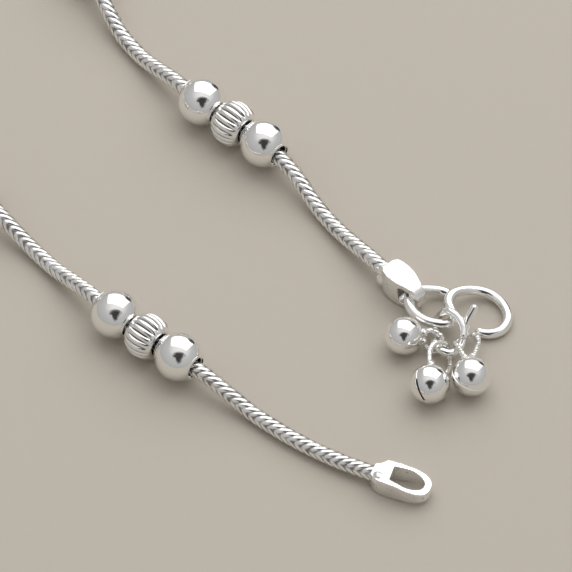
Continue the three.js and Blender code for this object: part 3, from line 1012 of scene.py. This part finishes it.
def bell_shell(radius, seam_height):
    """A hollow ball of two cups: the seam runs round it, and opens into the slit at +x."""
    bpy.ops.mesh.primitive_uv_sphere_add(segments=80, ring_count=47, radius=radius)
    shell = bpy.context.object
    edit(shell)
    half_slit = SLIT_WIDTH / 2
    for height in (half_slit, SEAM_HALF_WIDTH, 0.0, -SEAM_HALF_WIDTH, -half_slit):
        bpy.ops.mesh.select_all(action="SELECT")
        bpy.ops.mesh.bisect(plane_co=(0, 0, seam_height + height), plane_no=(0, 0, 1))

    def in_slit(point):
        turn = abs(math.atan2(point.y, point.x))
        return abs(point.z - seam_height) < half_slit and turn < SLIT_REACH

    pick(shell, in_slit, "FACE")
    bpy.ops.mesh.delete(type="FACE")
    pick(shell, lambda p: abs(p.z - seam_height) < 0.002 and not in_slit(p))
    bpy.ops.transform.resize(value=(SEAM_PINCH, SEAM_PINCH, 1.0), center_override=(0, 0, 0))
    face_outwards()
    put_down()
    modify(shell, "SOLIDIFY", thickness=BELL_WALL, offset=-1.0)
    return shell


def solder_grains(bell, chance):
    """Grains of solder sitting in the wire's skin, thickest towards the bell."""
    line = Route(bell["loop"])
    grains = []
    for i in range(GRAINS_PER_LOOP):
        share = chance.uniform(0.0, 1.0)
        near = share**GRAIN_CROWDING / 2
        share = near if i % 2 else 1.0 - near
        out = Vector([chance.uniform(-1.0, 1.0) for _ in range(3)]).normalized()
        size = bell["wire"] * chance.uniform(*GRAIN_SIZES)
        place = line.at(share * line.length) + out * bell["wire"] * GRAIN_DEPTH
        grains.append(solder_lump(place, size, seed=i))
    return grains


def bell_loop(bell, seed):
    """The bell's wire loop and the lumps of solder that hold it, run together."""
    loop = bent_wire(
        bell["name"] + "_loop", bell["loop"], bell["wire"], BELL_LOOP_STEP, BELL_LOOP_LUMPINESS,
        seed, around=4,
    )
    middle = Vector(bell["middle"])
    lumps = []
    for i, place in enumerate((bell["loop"][0], bell["loop"][-1])):
        out = (Vector(place) - middle).normalized()
        spot = middle + out * (bell["radius"] + 0.02)
        lumps.append(solder_lump(spot, bell["wire"] * ROOT_LUMP_SIZE, seed=seed + i))
    for i, (x, y, z, size) in enumerate(bell["lumps"]):
        lumps.append(solder_lump((x, y, z), size, seed=seed + 5 + i))
    lumps += solder_grains(bell, random.Random(seed))
    join(loop, *lumps)
    run_together(loop, BELL_LOOP_SOFTNESS)
    return loop


def round_bell(bell, number, polished, cast):
    shell = bell_shell(bell["radius"], bell["seam_shift"])
    across = Vector(bell["across"]).normalized()
    along = across.cross(Vector(bell["faces"])).normalized()
    faces = along.cross(across)
    turn = Matrix((faces, along, across)).transposed().to_4x4()
    shell.matrix_world = Matrix.Translation(Vector(bell["middle"])) @ turn
    pick_up(shell)
    bpy.ops.object.transform_apply(location=True, rotation=True, scale=True)
    smooth(shell, 35.0)
    paint(shell, polished)
    loop = bell_loop(bell, 20 + number)
    smooth(loop)
    paint(loop, cast)
    join(shell, loop)
    shell.name = "silver_" + bell["name"]
    settle(shell, bell["name"])


# ---- floor, light and camera ----------------------------------------------------------


def lay_floor():
    bpy.ops.mesh.primitive_plane_add(size=FLOOR_SIZE, location=(0.0, 0.0, -FLOOR_DROP))
    floor = bpy.context.object
    floor.name = "pale_floor"
    paint(floor, pale_board())


def aim(obj, place, target):
    obj.location = place
    back = Vector(place) - Vector(target)
    obj.rotation_mode = "QUATERNION"
    obj.rotation_quaternion = back.to_track_quat("Z", "Y")


def soft_light(name, place, size, power, colour):
    data = bpy.data.lights.new(name, "AREA")
    data.shape = "RECTANGLE"
    data.size, data.size_y = size
    data.energy = power
    data.color = colour
    lamp = bpy.data.objects.new(name, data)
    bpy.context.scene.collection.objects.link(lamp)
    aim(lamp, place, (0.0, 0.0, 0.0))
    lamp.visible_camera = False


def soft_dark():
    """Dark in the middle, and cloudy and clear towards the edges."""
    finish = Finish("soft_dark")
    place = finish.place()
    clouds = finish.noise(place, 5.0, 3.0, 0.6)
    reach = finish.node("ShaderNodeVectorMath", {"operation": "LENGTH"}, {0: place}, output="Value")
    cover = finish.ramp(reach + (clouds - 0.5) * 0.6, (0.26, 1.0), (0.48, 0.0))
    shade = finish.mix(clouds, CARD_BLACK, CARD_GREY)
    return finish.done(Base_Color=shade, Roughness=0.9, Alpha=cover)


def dark_card(name, place, size, material):
    """A card that only reflections see: it casts no shadow."""
    bpy.ops.mesh.primitive_plane_add(size=1.0)
    card = bpy.context.object
    card.name = name
    card.scale = (*size, 1.0)
    aim(card, place, CAMERA_TARGET)
    card.visible_camera = False
    card.visible_shadow = False
    paint(card, material)


def light_room():
    """A grey room with a brighter ceiling, and one window."""
    world = bpy.data.worlds.new("grey_room")
    world.use_nodes = True
    bpy.context.scene.world = world
    room = Finish("grey_room", world.node_tree)
    place = room.node("ShaderNodeTexCoord", output="Generated")
    towards = room.node(
        "ShaderNodeVectorMath", {"operation": "DOT_PRODUCT"}, {0: place, 1: CEILING_GLOW},
        output="Value",
    )
    glow = room.ramp(towards * 0.5 + 0.5, *ROOM_SHADES)
    background = room.node("ShaderNodeBackground", sockets={"Color": glow, "Strength": 1.0})
    room.node("ShaderNodeOutputWorld", sockets={"Surface": background})
    soft_light("window", WINDOW, WINDOW_SIZE, WINDOW_POWER, WINDOW_COLOUR)


def set_camera():
    data = bpy.data.cameras.new("camera")
    data.lens = CAMERA_LENS
    data.sensor_width = 36.0
    data.clip_start, data.clip_end = 0.01, 20.0
    camera = bpy.data.objects.new("camera", data)
    bpy.context.scene.collection.objects.link(camera)
    aim(camera, CAMERA_TARGET + CAMERA_BACK * CAMERA_DISTANCE, CAMERA_TARGET)
    bpy.context.scene.camera = camera


def hang_cards():
    cloudy = soft_dark()
    for card in DARK_CARDS:
        dark_card(*card, cloudy)


# ---- the anklet -----------------------------------------------------------------------

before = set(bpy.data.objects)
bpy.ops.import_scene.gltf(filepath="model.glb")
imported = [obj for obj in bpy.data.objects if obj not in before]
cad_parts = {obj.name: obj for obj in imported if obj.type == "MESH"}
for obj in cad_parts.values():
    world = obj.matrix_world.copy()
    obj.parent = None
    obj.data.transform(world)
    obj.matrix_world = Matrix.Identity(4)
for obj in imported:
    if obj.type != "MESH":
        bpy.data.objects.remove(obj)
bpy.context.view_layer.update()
put_down()

bpy.context.scene.view_settings.view_transform = "Standard"
set_camera()
hang_cards()
light_room()
lay_floor()

POLISHED = polished_silver()
CAST = cast_silver()
snake_chain(chain_silver())
bead_groups(POLISHED)
cast_ends(CAST)
hook_and_ring(POLISHED)
for bell_number, bell_sizes in enumerate(BELLS):
    round_bell(bell_sizes, bell_number, POLISHED, CAST)
put_down()
